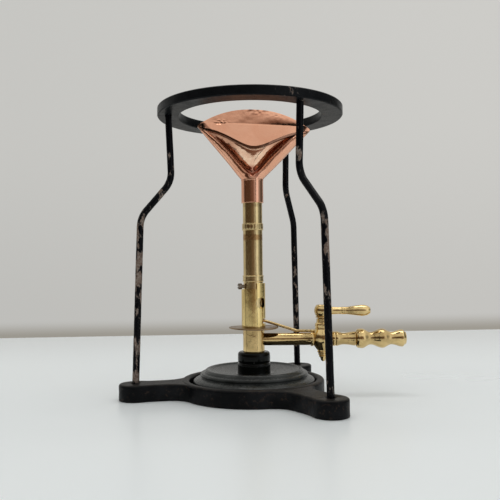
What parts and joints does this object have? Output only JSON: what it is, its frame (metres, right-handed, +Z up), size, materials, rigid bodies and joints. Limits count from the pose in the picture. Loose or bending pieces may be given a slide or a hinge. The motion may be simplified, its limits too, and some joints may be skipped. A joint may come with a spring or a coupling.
{
  "type": "bunsen burner",
  "caption": "Brass bunsen burner with a copper fishtail flame spreader, air regulator, by-pass gas tap and reeded hose tail, in a three-legged ring stand.",
  "frame": {"origin": "on the burner's axis, on the table under the burner's foot", "axes": "+Z up along the burner tube, +X along the gas line towards the hose tail"},
  "size_m": [0.1831, 0.1447, 0.1856],
  "materials": {
    "stand_cast_iron": "black, satin, with grey scuffs and a little rust at the arm ends",
    "foot_cast_iron": "black, satin",
    "black_paint": "gloss black over steel, chipped to grey-brown",
    "brass": "polished",
    "dull_brass": "tarnished, satin",
    "copper": "polished copper",
    "dark_steel": "oxidised"
  },
  "bodies": {
    "stand": {"stand_base": "stand_cast_iron", "leg_left": "black_paint", "leg_front": "black_paint", "leg_back": "black_paint", "trivet_ring": "black_paint"},
    "burner": {"burner_base": "foot_cast_iron", "gas_body": "brass", "gas_jet": "brass", "burner_tube": "brass", "band_lower": "brass", "band_upper": "brass", "stop_screw": "dark_steel", "gas_pipe": "brass", "bypass_tube": "brass", "tap_body": "brass", "tail_nipple": "brass", "hose_barb": "brass"},
    "regulator": {"air_sleeve": "brass", "thumb_disc": "dull_brass"},
    "tap_key": {"tap_plug": "brass", "tap_lever": "brass", "tap_washer": "brass", "finial_nut": "brass"},
    "spreader": {"spreader_socket": "copper", "spreader_fan": "copper"}
  },
  "joints": [
    {"name": "burner_turn", "type": "hinge", "parent": "stand", "child": "burner", "pos_m": [0, 0, 0], "axis": [0, 0, 1], "range_deg": [-50, 52]},
    {"name": "air_turn", "type": "hinge", "parent": "burner", "child": "regulator", "pos_m": [0, 0, 0.055], "axis": [0, 0, 1], "range_deg": [-30, 38]},
    {"name": "tap_turn", "type": "hinge", "parent": "burner", "child": "tap_key", "pos_m": [0.0448, 0, 0.0355], "axis": [0, 0, 1], "range_deg": [-90, 90]},
    {"name": "spreader_lift", "type": "slide", "parent": "burner", "child": "spreader", "axis": [0, 0, 1], "range_m": [0, 0.016]}
  ]
}
